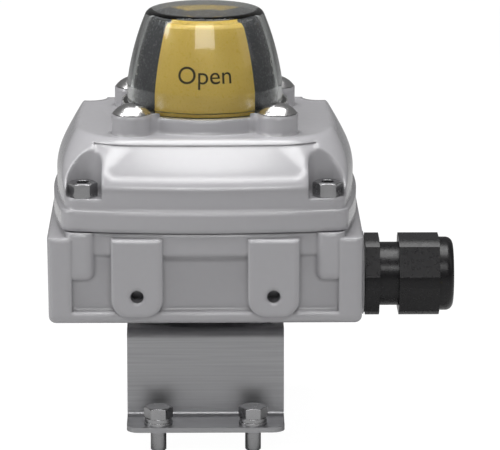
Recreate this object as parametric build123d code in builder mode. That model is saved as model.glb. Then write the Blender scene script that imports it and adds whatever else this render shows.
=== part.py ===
from build123d import *
from math import atan2, cos, degrees, hypot, radians, sin, tan
import os

# Valve limit switch box on a folded bracket, in millimetres.
# Origin: on the drive shaft's axis, level with the underside of the bracket's feet.
# +X to the cable gland, +Y to the back, +Z up.

os.makedirs("parts", exist_ok=True)

# ---- Clearances ----------------------------------------------------------------------------
running_fit = 0.06  # radial, between a turning journal and its bore
seated_fit = 0.05  # radial, between two pieces that don't move on each other
screw_fit = 0.10  # radial, between a screw and the hole it is driven into
moving_gap = 0.30  # between pieces that pass each other without touching

# ---- Mounting bracket ----------------------------------------------------------------------
bracket_width = 50.0
bracket_height = 30.0
bracket_span = 60.0  # across the outer faces of the two walls
foot_length = 15.0  # from a wall's outer face to the end of its foot
sheet = 1.6
bend_radius = 1.4  # inside each bend
foot_corner = 4.0
foot_pitch_x = 30.0
foot_pitch_y = 80.0
shaft_window = 26.0  # diameter of the hole in the top plate round the shaft

# ---- M5 fasteners --------------------------------------------------------------------------
m5_diameter = 5.0
m5_clearance_hole = 5.5
m5_flats = 8.0
m5_head_height = 3.5
washer_diameter = 9.0
washer_thickness = 1.0
spring_washer_diameter = 8.6
spring_washer_thickness = 1.3
spring_washer_split = 0.9
foot_bolt_length = 11.0
neck_depth = 0.15  # a bolt's shank is that much thinner above its thread

# ---- Base housing --------------------------------------------------------------------------
box_half_x = 49.5
box_half_y = 45.0
underside_gap = 5.3  # from the bracket's plate to the housing's underside
cheek_height = 27.6
base_height = 29.2  # underside to the joint face
casting_draft = 0.6  # degrees
side_corner = 2.0
bottom_round = 2.4
floor_thickness = 3.3
cheek_width = 7.7  # from the housing's side to the recess
recess_depth = 3.0
sill_height = 3.9  # below the recess
edge_round = 0.9
flange_height = 7.2  # band under the joint face
flange_step = 0.8  # how far the band sits inside the lid's edge
column_width = 9.2
column_depth = 10.0
column_corner = 3.0
column_x = 39.2
column_y = 39.6
column_length = 15.5
cavity_half_x = 42.5
cavity_half_y = 37.0
cavity_corner = 21.0

# ---- Lugs on the front -----------------------------------------------------------------------
lug_spacing = 42.8
lug_width = 16.2
lug_proud = 2.0  # ahead of the front face
lug_bottom = 2.5  # above the housing's underside
lug_corner = 5.8
lug_hole_height = 6.8  # above the lug's lower end
lug_hole_radius = 2.1
lug_hole_depth = 8.0

# ---- Box to bracket screws -------------------------------------------------------------------
box_screw_pitch_x = 32.0
box_screw_pitch_y = 36.0
box_screw_length = 10.0
box_boss_radius = 6.0
shaft_boss_radius = 13.0
rib_thickness = 3.0

# ---- Lid -----------------------------------------------------------------------------------
lid_half_x = 48.7  # at the middle of each side, where the edge bows out
lid_half_y = 46.5
lid_corner_x = 44.5  # where the bowed sides would meet
lid_corner_y = 42.0
lid_corner_round = 5.0
joint_gap = 0.4  # between the lid and the base, round the gasket
skirt_height = 6.5
ledge_width = 1.1
wall_height = 14.2  # joint to the start of the slope
lid_height = 27.3  # joint to the flat top
top_half_x = 40.7
top_front = 33.0  # the front slopes back further than the other sides
top_back = 38.0
top_bow = 1.0
top_front_corner = 21.0
top_back_corner = 3.5
side_fullness = 1.6  # above 1, the sides stay full for longer than the front
lid_wall_inset = 1.3  # lid cavity inside the base cavity
lid_inner_wall_height = 12.0
lid_inner_top_half_x = 35.5
lid_inner_top_half_y = 30.5
lid_inner_top_corner = 16.0
top_thickness = 3.2
hood_levels = [  # height above the joint, and how far the plan has gone from wall to top
    (wall_height - 3.6, 0.0),
    (wall_height - 1.1, 0.0),
    (wall_height + 0.3, 0.035),
    (wall_height + 1.9, 0.13),
    (wall_height + 5.4, 0.38),
    (wall_height + 9.1, 0.66),
    (wall_height + 11.3, 0.83),
    (wall_height + 12.5, 0.94),
    (lid_height, 1.06),
]
label_depth = 0.5
label_top_half = 35.0
label_bottom_half = 29.0
label_top_drop = 1.6  # below the flat top
label_shoulder_drop = 6.0
label_bottom_drop = 10.9

# ---- Lid bolts -----------------------------------------------------------------------------
lid_bolt_x = 38.4
lid_bolt_y = 37.2
lid_bolt_flats = 8.2
lid_bolt_head = 4.6
lid_bolt_socket_flats = 4.0
lid_bolt_socket_depth = 3.0
lid_bolt_hole_depth = 10.5  # into the base
pocket_x = 37.9
pocket_width = 11.2
pocket_back_y = 31.2
pocket_depth = 17.2  # below the flat top

# ---- Gasket --------------------------------------------------------------------------------
gasket_offset = 1.0  # from the cavity's edge
gasket_width = 2.0
gasket_height = 1.9
gasket_gap = 0.1  # under the lid

# ---- Lens ----------------------------------------------------------------------------------
lens_radius = 25.0
lens_skirt = 5.2  # height of the straight part above its flange
lens_height = 29.4  # above its flange
lens_wall = 1.4
dome_lean = 0.117  # inward slope where the dome begins
dome_curve = 0.006445  # inward curve, per mm
dome_top_round = 2.8
ring_radius = 27.0
ring_height = 4.7
ring_bore = 23.6
ring_blend = 2.5
lens_boss_radius = 6.3
lens_boss_pitch = 46.4
lens_flange_thickness = 1.4
lens_flange_inset = 0.25
lens_ear_radius = 4.2
lens_ear_gap = 0.15  # between an ear and the boss round it
lens_gasket_thickness = 0.5
lens_gasket_width = 2.2
lens_screw_radius = 2.0
lens_screw_length = 6.0
dome_head_radius = 6.0
dome_head_height = 3.1

# ---- Shaft, bush and cams ----------------------------------------------------------------------
journal_radius = 5.0
bush_wall = 2.0
bush_top = 41.0  # above the origin, inside the housing
tongue_thickness = 4.0
tongue_length = 4.0
shaft_foot = 16.5  # lower end of the tongue, above the origin
collar_radius = 7.4
collar_thickness = 1.4
spline_root_radius = 4.2
spline_tip_radius = 4.8
spline_teeth = 12
spline_tooth_width = 1.1
neck_radius = 4.0
dog_thickness = 3.0
dog_length = 6.0
o_ring_section = 1.2
circlip_thickness = 1.0
circlip_radius = 7.2
circlip_mouth = 60.0  # degrees
cam_thickness = 6.0
cam_ramp_angle = 90.0
cam_dwell_angle = 60.0
cam_return_angle = 55.0
cam_hub_radius = 8.2
cam_hub_height = 1.0
spring_coils = 2
spring_wire = 0.9
spring_radius = 6.6
top_ring_thickness = 1.2

# ---- Circuit board, switches and terminals -----------------------------------------------------
board_thickness = 1.6
board_standoff = 4.0
board_edge_gap = 1.5
board_window_radius = 14.6
board_screw_radius = 1.5
standoff_radius = 3.6
switch_length = 27.8
switch_depth = 15.9
switch_thickness = 10.3
switch_front_y = 18.4
switch_middle_x = -3.9
switch_hole_radius = 1.6
switch_hole_pitch = 22.2
switch_hole_front = 2.8
switch_hole_back = 13.1
insulator_thickness = 0.4
pivot_inset = 3.0  # lever pivot, from the switch's left end
pivot_stand = 1.0  # lever pivot, ahead of the switch's face
pivot_radius = 0.7
ear_radius = 1.3
ear_thickness = 0.8
lever_length = 16.5  # pivot to the rolled tip's centre
lever_sheet = 0.5
lever_width = 4.2
tip_radius = 1.5
lever_pressed_angle = -10.0
lever_free_angle = -17.0
plunger_radius = 0.9
plunger_from_pivot = 6.2
tab_width = 2.8
tab_thickness = 0.6
tab_reach = 1.8
terminal_ways = 8
terminal_pitch = 5.0
terminal_depth = 11.0
terminal_height = 11.0
terminal_middle_x = -6.0
terminal_middle_y = -27.5
terminal_entry_width = 3.6
terminal_screw_radius = 1.6

# ---- Earth screw ---------------------------------------------------------------------------
earth_x = 36.0
earth_y = 6.0
earth_boss_radius = 4.5
earth_boss_height = 5.0
earth_screw_radius = 2.0
earth_head_radius = 3.6
earth_head_height = 2.4
earth_washer_radius = 4.4
earth_washer_thickness = 0.8

# ---- Cable gland -----------------------------------------------------------------------------
gland_y = -24.0
gland_height = 11.3  # above the housing's underside
gland_thread_radius = 10.0
gland_boss_radius = 13.6
gland_boss_proud = 0.7
gland_passage_radius = 7.3
gland_thread_length = 8.0
gland_flats = 24.5
gland_corner_proud = 1.0  # how far its corners stand past the flats' circle
gland_hex_length = 4.5
gland_neck_radius = 10.1
gland_neck_length = 6.2
gland_spigot_radius = 8.9
gland_spigot_length = 8.0
gland_bore_radius = 7.0
gland_wall_washer = 0.5
nut_hex_length = 12.8
nut_cap_length = 4.6
nut_cap_radius = 11.7
nut_mouth_radius = 6.6
nut_round = 2.4
nut_wall = 1.2  # from the seal's end to the nut's mouth
gland_seal_bore = 5.0
gland_seal_length = 14.0

# ---- Indicator -------------------------------------------------------------------------------
indicator_gap = 0.9  # between the drum and the lens
drum_wall = 1.6
drum_top_gap = 1.4  # under the lens
drum_bevel = 1.2
drum_foot_gap = 1.0  # over the lid's floor
stem_radius = 6.0
stem_groove = 0.8
clip_thickness = 0.9
clip_radius = 8.4
stem_tail = 3.5  # below the clip
bearing_boss_radius = 9.5
bearing_boss_drop = 4.0
panel_angle = 86.0
panel_thickness = 1.1
panel_foot = 3.4  # above the drum's lower edge
panel_top_radius = 7.5
dog_overlap = 4.4

# ---- Levels, worked out from the sizes above ---------------------------------------------------
plate_top = bracket_height
base_bottom = plate_top + underside_gap
base_top = base_bottom + base_height
floor_top = base_bottom + floor_thickness
lid_bottom = base_top + joint_gap
slope_start = lid_bottom + wall_height
lid_top = lid_bottom + lid_height
ring_top = lid_top + ring_height
flange_bottom = ring_top + lens_gasket_thickness
flange_top = flange_bottom + lens_flange_thickness
lens_top = flange_top + lens_height
pocket_floor = lid_top - pocket_depth
board_bottom = floor_top + board_standoff
board_top = board_bottom + board_thickness
upper_switch_base = board_top + switch_thickness + insulator_thickness
lower_cam_middle = board_top + switch_thickness / 2
upper_cam_middle = upper_switch_base + switch_thickness / 2
foot_end = bracket_span / 2 + foot_length
gland_z = base_bottom + gland_height
recess_half_width = box_half_x - cheek_width
lug_face_y = max(box_half_y, lid_half_y - flange_step) + lug_proud - edge_round
boss_face = box_half_x + gland_boss_proud


def bowed_outline(inset, corner):
    """The lid's plan: four gently bowed sides, brought in by inset."""
    corner_x = lid_corner_x - inset
    corner_y = lid_corner_y - inset
    with BuildSketch() as outline:
        with BuildLine():
            ThreePointArc((-corner_x, -corner_y), (0, inset - lid_half_y), (corner_x, -corner_y))
            ThreePointArc((corner_x, -corner_y), (lid_half_x - inset, 0), (corner_x, corner_y))
            ThreePointArc((corner_x, corner_y), (0, lid_half_y - inset), (-corner_x, corner_y))
            ThreePointArc((-corner_x, corner_y), (inset - lid_half_x, 0), (-corner_x, -corner_y))
        make_face()
        fillet(outline.vertices(), corner)
    return outline.sketch


def cavity_outline(inset):
    """The plan of the space inside, brought in by inset (or let out, if negative)."""
    with BuildSketch() as outline:
        RectangleRounded(
            2 * (cavity_half_x - inset), 2 * (cavity_half_y - inset), cavity_corner - inset
        )
    return outline.sketch


def hood_outline(share, inset):
    """Plan of the lid between its wall (share 0) and its flat top (share 1), brought in by inset."""

    def between(foot, top):
        return foot - ledge_width + (top - foot + ledge_width) * share - inset

    side_share = share**side_fullness
    side = lid_half_x - ledge_width + (top_half_x - lid_half_x + ledge_width) * side_share - inset
    front = between(lid_half_y, top_front)
    back = between(lid_half_y, top_back)
    corner_x = side - (lid_half_x - lid_corner_x) * (1 - side_share) - top_bow * side_share
    corner_front = between(lid_corner_y, top_front - top_bow)
    corner_back = between(lid_corner_y, top_back - top_bow)
    with BuildSketch() as outline:
        with BuildLine():
            middle = (corner_back - corner_front) / 2
            ThreePointArc((-corner_x, -corner_front), (0, -front), (corner_x, -corner_front))
            ThreePointArc((corner_x, -corner_front), (side, middle), (corner_x, corner_back))
            ThreePointArc((corner_x, corner_back), (0, back), (-corner_x, corner_back))
            ThreePointArc((-corner_x, corner_back), (-side, middle), (-corner_x, -corner_front))
        make_face()
        corners = outline.vertices().sort_by(Axis.Y)
        fillet(corners[:2], lid_corner_round + (top_front_corner - lid_corner_round) * share**0.25)
        corners = outline.vertices().filter_by(lambda corner: abs(corner.Y - corner_back) < 0.01)
        fillet(corners, lid_corner_round + (top_back_corner - lid_corner_round) * share)
    return outline.sketch


def hood(inset):
    """The lid's upper part: wall, rounded shoulder, slope and rounded top edge."""
    with BuildPart() as slopes:
        for rise, share in hood_levels:
            with BuildSketch(Plane.XY.offset(lid_bottom + rise)):
                add(hood_outline(share, inset))
        loft()
    return slopes.part


def dome_radius(z):
    """Outer radius of the lens at height z."""
    rise = max(0.0, z - flange_top - lens_skirt)
    return lens_radius - dome_lean * rise - dome_curve * rise * rise


def dome_wall(inset, low, high):
    """Three points on the dome's side, brought in by inset, for an arc."""
    middle = (low + high) / 2
    return [(dome_radius(z) - inset, z) for z in (low, middle, high)]


def hexagon_bolt(flats, head, diameter, length, neck=0.0, socket_flats=0.0, socket_depth=0.0):
    """Hexagon head above the origin and shank below it, reduced under the head for neck."""
    with BuildPart() as bolt:
        with BuildSketch():
            RegularPolygon(flats / 2, 6, major_radius=False)
        extrude(amount=head)
        Cone(
            flats / 2 + 1.7 * head,
            0.97 * flats / 2,
            head,
            align=(Align.CENTER, Align.CENTER, Align.MIN),
            mode=Mode.INTERSECT,
        )
        if socket_flats:
            with BuildSketch(Plane.XY.offset(head)):
                RegularPolygon(socket_flats / 2, 6, major_radius=False)
            extrude(amount=-socket_depth, mode=Mode.SUBTRACT)
        Cylinder(diameter / 2, length, align=(Align.CENTER, Align.CENTER, Align.MAX))
        chamfer(bolt.edges().sort_by(Axis.Z)[0], diameter * 0.12)
        if neck:
            with BuildSketch():
                Circle(diameter / 2)
                Circle(diameter / 2 - neck_depth, mode=Mode.SUBTRACT)
            extrude(amount=-neck, mode=Mode.SUBTRACT)
    return bolt.part


def plain_washer(outer, inner, thickness):
    """Flat ring standing on the origin."""
    with BuildPart() as washer:
        with BuildSketch():
            Circle(outer / 2)
            Circle(inner / 2, mode=Mode.SUBTRACT)
        extrude(amount=thickness)
    return washer.part


def spring_washer(outer, inner, thickness, split):
    """Split ring standing on the origin."""
    with BuildPart() as washer:
        add(plain_washer(outer, inner, thickness))
        with BuildSketch():
            with Locations((outer / 2, 0)):
                Rectangle(outer, split)
        extrude(amount=thickness, mode=Mode.SUBTRACT)
    return washer.part


def spline(clearance):
    """Cross-section of the splined shaft, let out by clearance."""
    with BuildSketch() as section:
        Circle(spline_root_radius + clearance)
        with PolarLocations(spline_tip_radius / 2, spline_teeth):
            Rectangle(spline_tip_radius + 2 * clearance, spline_tooth_width + 2 * clearance)
    return section.sketch


def cam_disc(start, hand):
    """Cam profile: low at start, and cam_lift higher a quarter turn on, clockwise if hand is 1."""

    def on_cam(turn, lift):
        angle = radians(start - hand * turn)
        return ((cam_low_radius + lift) * cos(angle), (cam_low_radius + lift) * sin(angle))

    ramp = [on_cam(cam_ramp_angle * step / 6, cam_lift * step / 6) for step in range(7)]
    dwell_end = cam_ramp_angle + cam_dwell_angle
    low = dwell_end + cam_return_angle
    with BuildSketch() as disc:
        with BuildLine():
            Spline(*ramp)
            ThreePointArc(
                ramp[-1],
                on_cam(cam_ramp_angle + cam_dwell_angle / 2, cam_lift),
                on_cam(dwell_end, cam_lift),
            )
            Spline(
                on_cam(dwell_end, cam_lift),
                on_cam(dwell_end + cam_return_angle / 2, cam_lift / 2),
                on_cam(low, 0),
            )
            ThreePointArc(on_cam(low, 0), on_cam((low + 360) / 2, 0), ramp[0])
        make_face()
        add(spline(seated_fit), mode=Mode.SUBTRACT)
    return disc.sketch


# ==== Mounting bracket ========================================================================
wall_middle = (bracket_span - sheet) / 2
with BuildPart() as mounting_bracket:
    with BuildSketch(Plane.YZ):
        with BuildLine():
            FilletPolyline(
                (-foot_end, sheet / 2),
                (-wall_middle, sheet / 2),
                (-wall_middle, plate_top - sheet / 2),
                (wall_middle, plate_top - sheet / 2),
                (wall_middle, sheet / 2),
                (foot_end, sheet / 2),
                radius=bend_radius + sheet / 2,
            )
        trace(line_width=sheet)
    extrude(amount=bracket_width / 2, both=True)
    foot_ends = mounting_bracket.edges().filter_by(Axis.Z).filter_by(
        lambda edge: abs(abs(edge.center().Y) - foot_end) < 0.01
    )
    fillet(foot_ends, foot_corner)
    with BuildSketch():
        with GridLocations(foot_pitch_x, foot_pitch_y, 2, 2):
            Circle(m5_clearance_hole / 2)
    extrude(amount=sheet, mode=Mode.SUBTRACT)
    with BuildSketch(Plane.XY.offset(plate_top)):
        Circle(shaft_window / 2)
        with GridLocations(box_screw_pitch_x, box_screw_pitch_y, 2, 2):
            Circle(m5_clearance_hole / 2)
    extrude(amount=-sheet, mode=Mode.SUBTRACT)

plain_washer_top = sheet + washer_thickness
spring_washer_top = plain_washer_top + spring_washer_thickness
with BuildPart() as foot_plain_washers:
    with Locations((0, 0, sheet)):
        with GridLocations(foot_pitch_x, foot_pitch_y, 2, 2):
            add(plain_washer(washer_diameter, m5_clearance_hole, washer_thickness))

with BuildPart() as foot_spring_washers:
    with Locations((0, 0, plain_washer_top)):
        with GridLocations(foot_pitch_x, foot_pitch_y, 2, 2):
            add(
                spring_washer(
                    spring_washer_diameter,
                    m5_clearance_hole,
                    spring_washer_thickness,
                    spring_washer_split,
                )
            )

with BuildPart() as foot_bolts:
    with Locations((0, 0, spring_washer_top)):
        with GridLocations(foot_pitch_x, foot_pitch_y, 2, 2):
            add(
                hexagon_bolt(
                    m5_flats,
                    m5_head_height,
                    m5_diameter,
                    foot_bolt_length,
                    neck=spring_washer_top + moving_gap,
                )
            )

# ==== Screws that hold the housing to the bracket, heads under the plate ========================
plate_underside = plate_top - sheet
with BuildPart() as bracket_spring_washers:
    with Locations((0, 0, plate_underside)):
        with GridLocations(box_screw_pitch_x, box_screw_pitch_y, 2, 2):
            add(
                spring_washer(
                    spring_washer_diameter,
                    m5_clearance_hole,
                    spring_washer_thickness,
                    spring_washer_split,
                ),
                rotation=(180, 0, 0),
            )

with BuildPart() as bracket_screws:
    with Locations((0, 0, plate_underside - spring_washer_thickness)):
        with GridLocations(box_screw_pitch_x, box_screw_pitch_y, 2, 2):
            add(
                hexagon_bolt(m5_flats, m5_head_height, m5_diameter, box_screw_length),
                rotation=(180, 0, 0),
            )
box_screw_tip = plate_underside - spring_washer_thickness + box_screw_length

# ==== Base housing ============================================================================
flange_plan = bowed_outline(flange_step, lid_corner_round)
cavity_plan = cavity_outline(0)
groove_outer = cavity_outline(-gasket_offset - gasket_width)
groove_inner = cavity_outline(-gasket_offset)
recess_plan_z = base_bottom + sill_height
board_fixings = [
    (switch_middle_x - switch_hole_pitch / 2, switch_front_y + switch_hole_back),
    (switch_middle_x + switch_hole_pitch / 2, switch_front_y + switch_hole_front),
    (-34.0, -16.0),
    (24.0, -22.0),
]

with BuildPart() as bolt_column:
    with BuildSketch():
        RectangleRounded(column_width, column_depth, column_corner)
    extrude(amount=-column_length)
    fillet(bolt_column.edges().group_by(Axis.Z)[0], 0.8 * column_corner)
column = bolt_column.part

with BuildPart() as base_housing:
    with BuildSketch(Plane((0, 0, base_bottom + cheek_height), z_dir=(0, 0, -1))):
        RectangleRounded(2 * box_half_x, 2 * box_half_y, side_corner)
    extrude(amount=cheek_height, taper=casting_draft)
    fillet(base_housing.faces().sort_by(Axis.Z)[0].edges(), bottom_round)

    # The recess along the front and the back.
    with BuildSketch(Plane.XY.offset(recess_plan_z)):
        with GridLocations(0, 2 * box_half_y, 1, 2):
            Rectangle(2 * recess_half_width, 2 * recess_depth)
    extrude(amount=cheek_height, mode=Mode.SUBTRACT)
    rims = base_housing.edges().filter_by(
        lambda edge: abs(edge.center().Y) > box_half_y - recess_depth / 2
        and abs(edge.center().X) < recess_half_width + 0.5
        and recess_plan_z - 0.5 < edge.center().Z
    )
    fillet(rims, edge_round)

    # The band under the joint and the columns that carry the lid bolts.
    with BuildSketch(Plane.XY.offset(base_top)):
        add(flange_plan)
    extrude(amount=-flange_height)
    with GridLocations(2 * column_x, 2 * column_y, 2, 2):
        with Locations((0, 0, base_top)):
            add(column)

    # Two lugs on the front.
    with BuildSketch(Plane.XZ.offset(lug_face_y)) as lugs:
        with GridLocations(lug_spacing, 0, 2, 1):
            with Locations((0, base_bottom + lug_bottom)):
                Rectangle(
                    lug_width,
                    cheek_height - lug_bottom,
                    align=(Align.CENTER, Align.MIN),
                )
        fillet(lugs.vertices().group_by(Axis.Y)[0], lug_corner)
    extrude(amount=-(lug_face_y - box_half_y + recess_depth + 1))
    lug_faces = base_housing.faces().filter_by(Axis.Y).sort_by(Axis.Y)[:2]
    fillet(lug_faces.edges(), edge_round)

    # Bosses and ribs under the floor, down to the bracket's plate.
    with BuildSketch(Plane.XY.offset(plate_top)):
        Circle(shaft_boss_radius)
        with GridLocations(box_screw_pitch_x, box_screw_pitch_y, 2, 2):
            Circle(box_boss_radius)
        for turn in (-1, 1):
            Rectangle(
                hypot(box_screw_pitch_x, box_screw_pitch_y),
                rib_thickness,
                rotation=turn * degrees(atan2(box_screw_pitch_y, box_screw_pitch_x)),
            )
    extrude(amount=underside_gap + 1)

    # The space inside, then the bosses that stand in it.
    with BuildSketch(Plane.XY.offset(floor_top)):
        add(cavity_plan)
    extrude(amount=base_top - floor_top, mode=Mode.SUBTRACT)
    with BuildSketch(Plane.XY.offset(floor_top - 1)):
        Circle(shaft_boss_radius)
    extrude(amount=bush_top - floor_top + 1)
    with BuildSketch(Plane.XY.offset(floor_top - 1)):
        with Locations(*board_fixings):
            Circle(standoff_radius)
    extrude(amount=board_standoff + 1)
    with BuildSketch(Plane.XY.offset(floor_top - 1)):
        with Locations((earth_x, earth_y)):
            Circle(earth_boss_radius)
    extrude(amount=earth_boss_height + 1)

    # The gasket groove.
    with BuildSketch(Plane.XY.offset(base_top)):
        add(groove_outer)
        add(groove_inner, mode=Mode.SUBTRACT)
    extrude(amount=-(gasket_height + gasket_gap - joint_gap), mode=Mode.SUBTRACT)

    # The gland's boss and its way in.
    with BuildSketch(Plane.YZ.offset(boss_face)):
        with Locations((gland_y, gland_z)):
            Circle(gland_boss_radius)
        with Locations((gland_y, base_bottom)):
            Rectangle(
                2 * gland_boss_radius,
                2 * gland_boss_radius,
                align=(Align.CENTER, Align.MIN),
                mode=Mode.INTERSECT,
            )
    extrude(amount=-(gland_boss_proud + 2))
    with BuildSketch(Plane.YZ.offset(boss_face)):
        with Locations((gland_y, gland_z)):
            Circle(gland_thread_radius + seated_fit)
    extrude(amount=-(gland_thread_length + seated_fit), mode=Mode.SUBTRACT)
    with BuildSketch(Plane.YZ.offset(boss_face)):
        with Locations((gland_y, gland_z)):
            Circle(gland_passage_radius)
    extrude(amount=-(boss_face - cavity_half_x + cavity_corner / 2), mode=Mode.SUBTRACT)

    # Holes: bush, lid bolts, lugs, box screws, board and earth.
    with BuildSketch(Plane.XY.offset(plate_top)):
        Circle(journal_radius + running_fit + bush_wall + seated_fit)
    extrude(amount=bush_top - plate_top, mode=Mode.SUBTRACT)
    with BuildSketch(Plane.XY.offset(base_top)):
        with GridLocations(2 * lid_bolt_x, 2 * lid_bolt_y, 2, 2):
            Circle(m5_diameter / 2 + screw_fit)
    extrude(amount=-lid_bolt_hole_depth, mode=Mode.SUBTRACT)
    with BuildSketch(Plane.XZ.offset(lug_face_y)):
        with Locations((0, base_bottom + lug_bottom + lug_hole_height)):
            with GridLocations(lug_spacing, 0, 2, 1):
                Circle(lug_hole_radius)
    extrude(amount=-lug_hole_depth, mode=Mode.SUBTRACT)
    with BuildSketch(Plane.XY.offset(plate_top)):
        with GridLocations(box_screw_pitch_x, box_screw_pitch_y, 2, 2):
            Circle(m5_diameter / 2 + screw_fit)
    extrude(amount=box_screw_tip - plate_top + 0.5, mode=Mode.SUBTRACT)
    with BuildSketch(Plane.XY.offset(board_bottom)):
        with Locations(*board_fixings):
            Circle(board_screw_radius + screw_fit)
    extrude(amount=-board_standoff, mode=Mode.SUBTRACT)
    with BuildSketch(Plane.XY.offset(floor_top + earth_boss_height)):
        with Locations((earth_x, earth_y)):
            Circle(earth_screw_radius + screw_fit)
    extrude(amount=-earth_boss_height, mode=Mode.SUBTRACT)

with BuildPart() as lid_gasket:
    with BuildSketch(Plane.XY.offset(lid_bottom - gasket_gap)):
        add(cavity_outline(seated_fit - gasket_offset - gasket_width))
        add(cavity_outline(-seated_fit - gasket_offset), mode=Mode.SUBTRACT)
    extrude(amount=-gasket_height)

# ==== Drive shaft =============================================================================
bush_radius = journal_radius + running_fit + bush_wall
with BuildPart() as shaft_bush:
    with BuildSketch(Plane.XY.offset(plate_top)):
        Circle(bush_radius)
        Circle(journal_radius + running_fit, mode=Mode.SUBTRACT)
    extrude(amount=bush_top - plate_top)

collar_bottom = bush_top + moving_gap
spline_bottom = collar_bottom + collar_thickness
upper_cam_top = upper_cam_middle + cam_thickness / 2
spline_top = upper_cam_top + cam_hub_height + top_ring_thickness
circlip_top = plate_top - moving_gap
bearing_bottom = lid_top - top_thickness - bearing_boss_drop
stem_foot = bearing_bottom - moving_gap - clip_thickness - stem_tail
dog_top = stem_foot + dog_overlap - moving_gap
ring_seats = [plate_top + 3.0, bush_top - 3.0 - o_ring_section]

with BuildPart() as drive_shaft:
    with BuildSketch(Plane.XY.offset(shaft_foot)) as tongue:
        Circle(journal_radius)
        Rectangle(2 * journal_radius, tongue_thickness, mode=Mode.INTERSECT)
    extrude(amount=tongue_length)
    with BuildSketch(Plane.XY.offset(shaft_foot + tongue_length)):
        Circle(journal_radius)
    extrude(amount=collar_bottom - shaft_foot - tongue_length)
    with BuildSketch(Plane.XY.offset(collar_bottom)):
        Circle(collar_radius)
    extrude(amount=collar_thickness)
    with BuildSketch(Plane.XY.offset(spline_bottom)):
        add(spline(0))
    extrude(amount=spline_top - spline_bottom)
    with BuildSketch(Plane.XY.offset(spline_top)):
        Circle(neck_radius)
    extrude(amount=dog_top - dog_length - spline_top)
    with BuildSketch(Plane.XY.offset(dog_top - dog_length)):
        Circle(neck_radius)
        Rectangle(2 * neck_radius, dog_thickness, mode=Mode.INTERSECT)
    extrude(amount=dog_length)
    for seat in ring_seats:
        with BuildSketch(Plane.XY.offset(seat)):
            Circle(journal_radius)
            Circle(journal_radius - o_ring_section, mode=Mode.SUBTRACT)
        extrude(amount=o_ring_section, mode=Mode.SUBTRACT)
    with BuildSketch(Plane.XY.offset(circlip_top)):
        Circle(journal_radius)
        Circle(journal_radius - 0.6, mode=Mode.SUBTRACT)
    extrude(amount=-circlip_thickness, mode=Mode.SUBTRACT)

with BuildPart() as shaft_o_rings:
    for seat in ring_seats:
        with BuildSketch(Plane.XZ):
            with Locations((journal_radius - o_ring_section / 2, seat + o_ring_section / 2)):
                Circle(o_ring_section / 2 - 0.02)
        revolve(axis=Axis.Z)

with BuildPart() as shaft_circlip:
    with BuildSketch(Plane.XY.offset(circlip_top)):
        Circle(circlip_radius)
        Circle(journal_radius - 0.6 + seated_fit, mode=Mode.SUBTRACT)
        with BuildLine():
            Polyline(
                (0, 0),
                (2 * circlip_radius, 2 * circlip_radius * sin(radians(circlip_mouth / 2))),
                (2 * circlip_radius, -2 * circlip_radius * sin(radians(circlip_mouth / 2))),
                close=True,
            )
        make_face(mode=Mode.SUBTRACT)
    extrude(amount=-circlip_thickness)

# ==== Cams ====================================================================================
# Each lever's rolled tip stands at this angle round the shaft when its switch is pressed or free.
pivot_x = switch_middle_x - switch_length / 2 + pivot_inset
pivot_y = switch_front_y - pivot_stand


def tip_centre(angle):
    """Centre of a lever's rolled tip when the lever stands at angle."""
    return (
        pivot_x + lever_length * cos(radians(angle)),
        pivot_y + lever_length * sin(radians(angle)),
    )


free_tip = tip_centre(lever_free_angle)
pressed_tip = tip_centre(lever_pressed_angle)
tip_direction = degrees(atan2(free_tip[1], free_tip[0]))
cam_low_radius = hypot(*free_tip) - tip_radius - moving_gap
cam_lift = hypot(*pressed_tip) - hypot(*free_tip)

with BuildPart() as lower_cam:
    with BuildSketch(Plane.XY.offset(lower_cam_middle - cam_thickness / 2)):
        add(cam_disc(tip_direction, 1))
    extrude(amount=cam_thickness)
    with BuildSketch(Plane.XY.offset(spline_bottom)):
        Circle(cam_hub_radius)
        add(spline(seated_fit), mode=Mode.SUBTRACT)
    extrude(amount=lower_cam_middle - cam_thickness / 2 - spline_bottom)
    with BuildSketch(Plane.XY.offset(lower_cam_middle + cam_thickness / 2)):
        Circle(cam_hub_radius)
        add(spline(seated_fit), mode=Mode.SUBTRACT)
    extrude(amount=cam_hub_height)

with BuildPart() as upper_cam:
    with BuildSketch(Plane.XY.offset(upper_cam_middle - cam_thickness / 2)):
        add(cam_disc(tip_direction - cam_ramp_angle, -1))
    extrude(amount=cam_thickness)
    with BuildSketch(Plane.XY.offset(upper_cam_top)):
        Circle(cam_hub_radius)
        add(spline(seated_fit), mode=Mode.SUBTRACT)
    extrude(amount=cam_hub_height)

spring_bottom = lower_cam_middle + cam_thickness / 2 + cam_hub_height
spring_top = upper_cam_middle - cam_thickness / 2
spring_rise = spring_top - spring_bottom - spring_wire
with BuildPart() as cam_spring:
    with BuildLine(Plane.XY.offset(spring_bottom + spring_wire / 2)):
        coil = Helix(spring_rise / spring_coils, spring_rise, spring_radius)
    with BuildSketch(Plane(coil @ 0, z_dir=coil % 0)):
        Circle(spring_wire / 2 - 0.02)
    sweep(path=coil)

with BuildPart() as cam_top_ring:
    with BuildSketch(Plane.XY.offset(spline_top - top_ring_thickness)):
        Circle(cam_hub_radius)
        add(spline(seated_fit), mode=Mode.SUBTRACT)
    extrude(amount=top_ring_thickness)

# ==== Circuit board and switches ================================================================
with BuildPart() as circuit_board:
    with BuildSketch(Plane.XY.offset(board_bottom)):
        add(cavity_outline(board_edge_gap))
        Circle(board_window_radius, mode=Mode.SUBTRACT)
        with Locations((earth_x - earth_boss_radius - board_edge_gap, 0)):
            Rectangle(
                cavity_half_x,
                2 * cavity_half_y,
                align=(Align.MIN, Align.CENTER),
                mode=Mode.SUBTRACT,
            )
        with Locations(*board_fixings):
            Circle(board_screw_radius + screw_fit, mode=Mode.SUBTRACT)
    extrude(amount=board_thickness)


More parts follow.
